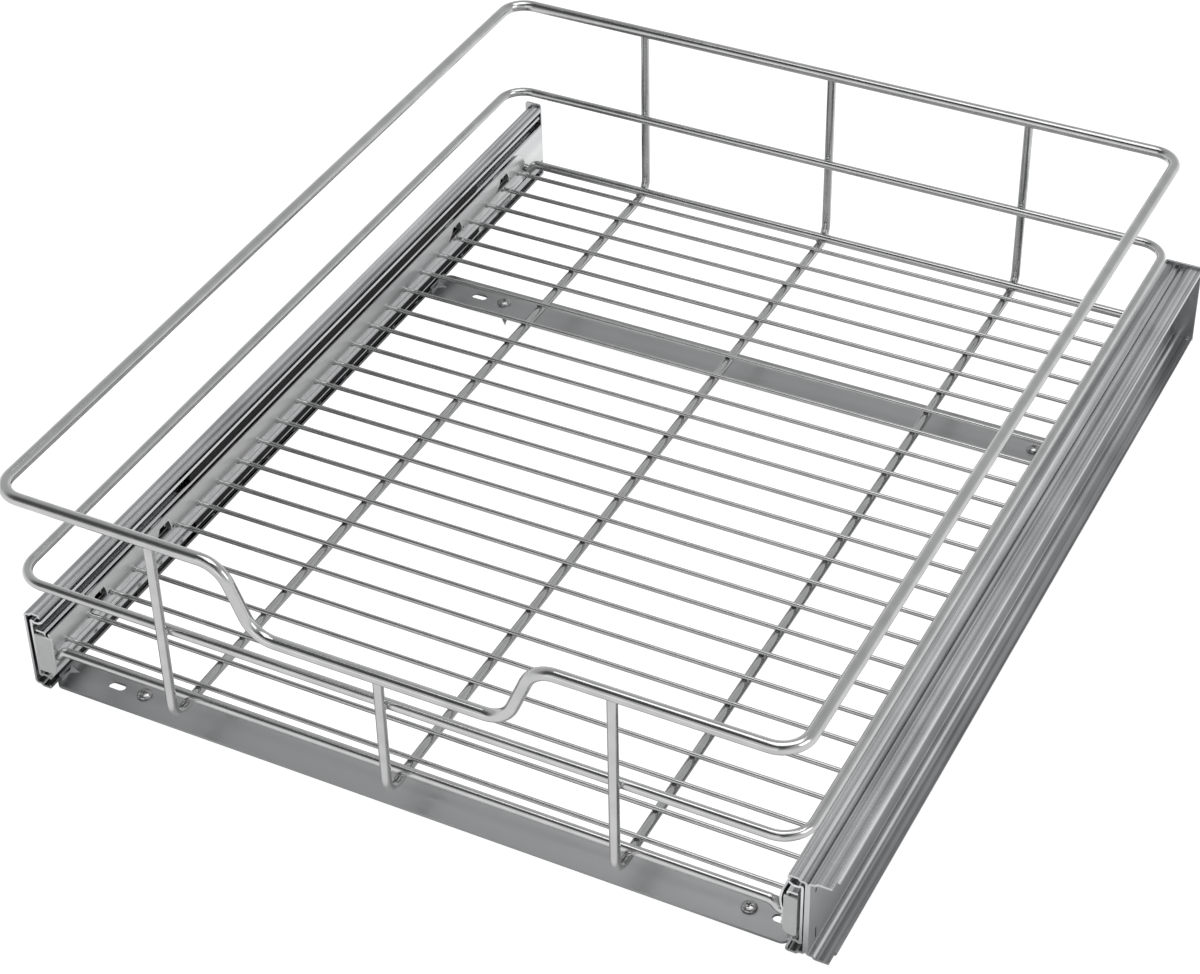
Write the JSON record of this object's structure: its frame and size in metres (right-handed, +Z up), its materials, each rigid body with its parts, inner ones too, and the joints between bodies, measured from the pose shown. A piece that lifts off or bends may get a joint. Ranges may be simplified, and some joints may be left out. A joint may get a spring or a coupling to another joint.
{
  "type": "pull-out cabinet organizer",
  "caption": "Pull-out cabinet organizer: a chromed wire basket with a dipped front rim on two telescopic ball-bearing slides, joined by crossbars that screw to the cabinet floor.",
  "frame": {"origin": "on the cabinet floor, under the middle of the front crossbar: midway between the slides and on the centre line of that bar and of its row of fixing holes", "axes": "+X to the right seen from the front, +Y to the back of the cabinet, +Z up; the basket pulls out along -Y"},
  "size_m": [0.4076, 0.5119, 0.1389],
  "materials": {
    "zinc_plated_rail": "bright zinc plate with fine lengthwise rolling lines",
    "crossbar_steel": "zinc-plated strip, satin",
    "screw_steel": "zinc-plated steel",
    "bearing_steel": "polished ball",
    "cage_plastic": "black moulded plastic",
    "block_plastic": "light grey moulded plastic",
    "bumper_rubber": "black rubber",
    "chromed_wire": "satin chrome plate on round steel wire"
  },
  "bodies": {
    "cabinet_frame": {"left_outer_rail": "zinc_plated_rail", "right_outer_rail": "zinc_plated_rail", "right_side_channel": "zinc_plated_rail", "left_end_plate": "zinc_plated_rail", "right_end_plate": "zinc_plated_rail", "front_crossbar": "crossbar_steel", "rear_crossbar": "crossbar_steel", "floor_screws": "screw_steel", "left_rear_bumper": "bumper_rubber", "right_rear_bumper": "bumper_rubber"},
    "basket": {"left_inner_rail": "zinc_plated_rail", "right_inner_rail": "zinc_plated_rail", "left_side_strip": "zinc_plated_rail", "right_side_strip": "zinc_plated_rail", "left_end_block": "block_plastic", "right_end_block": "block_plastic", "top_rim": "chromed_wire", "middle_rim": "chromed_wire", "left_support_wire": "chromed_wire", "centre_support_wire": "chromed_wire", "right_support_wire": "chromed_wire", "front_floor_wire": "chromed_wire", "rear_floor_wire": "chromed_wire", "floor_wires": "chromed_wire"},
    "left_middle_member": {"left_middle_rail": "zinc_plated_rail"},
    "right_middle_member": {"right_middle_rail": "zinc_plated_rail"},
    "left_outer_bearing": {"left_outer_cage": "cage_plastic", "left_outer_balls": "bearing_steel"},
    "right_outer_bearing": {"right_outer_cage": "cage_plastic", "right_outer_balls": "bearing_steel"},
    "left_inner_bearing": {"left_inner_cage": "cage_plastic", "left_inner_balls": "bearing_steel"},
    "right_inner_bearing": {"right_inner_cage": "cage_plastic", "right_inner_balls": "bearing_steel"}
  },
  "joints": [
    {"name": "basket_slide", "type": "slide", "parent": "cabinet_frame", "child": "basket", "axis": [0, -1, 0], "range_m": [0, 0.48]},
    {"name": "left_middle_member_slide", "type": "slide", "parent": "cabinet_frame", "child": "left_middle_member", "axis": [0, -1, 0], "range_m": [0, 0.24]},
    {"name": "left_outer_bearing_slide", "type": "slide", "parent": "cabinet_frame", "child": "left_outer_bearing", "axis": [0, -1, 0], "range_m": [0, 0.12]},
    {"name": "left_inner_bearing_slide", "type": "slide", "parent": "cabinet_frame", "child": "left_inner_bearing", "axis": [0, -1, 0], "range_m": [0, 0.36]},
    {"name": "right_middle_member_slide", "type": "slide", "parent": "cabinet_frame", "child": "right_middle_member", "axis": [0, -1, 0], "range_m": [0, 0.24]},
    {"name": "right_outer_bearing_slide", "type": "slide", "parent": "cabinet_frame", "child": "right_outer_bearing", "axis": [0, -1, 0], "range_m": [0, 0.12]},
    {"name": "right_inner_bearing_slide", "type": "slide", "parent": "cabinet_frame", "child": "right_inner_bearing", "axis": [0, -1, 0], "range_m": [0, 0.36]}
  ],
  "couplings": [
    {"joint": "left_middle_member_slide", "follows": "basket_slide", "ratio": 0.5},
    {"joint": "left_outer_bearing_slide", "follows": "basket_slide", "ratio": 0.25},
    {"joint": "left_inner_bearing_slide", "follows": "basket_slide", "ratio": 0.75},
    {"joint": "right_middle_member_slide", "follows": "basket_slide", "ratio": 0.5},
    {"joint": "right_outer_bearing_slide", "follows": "basket_slide", "ratio": 0.25},
    {"joint": "right_inner_bearing_slide", "follows": "basket_slide", "ratio": 0.75}
  ]
}
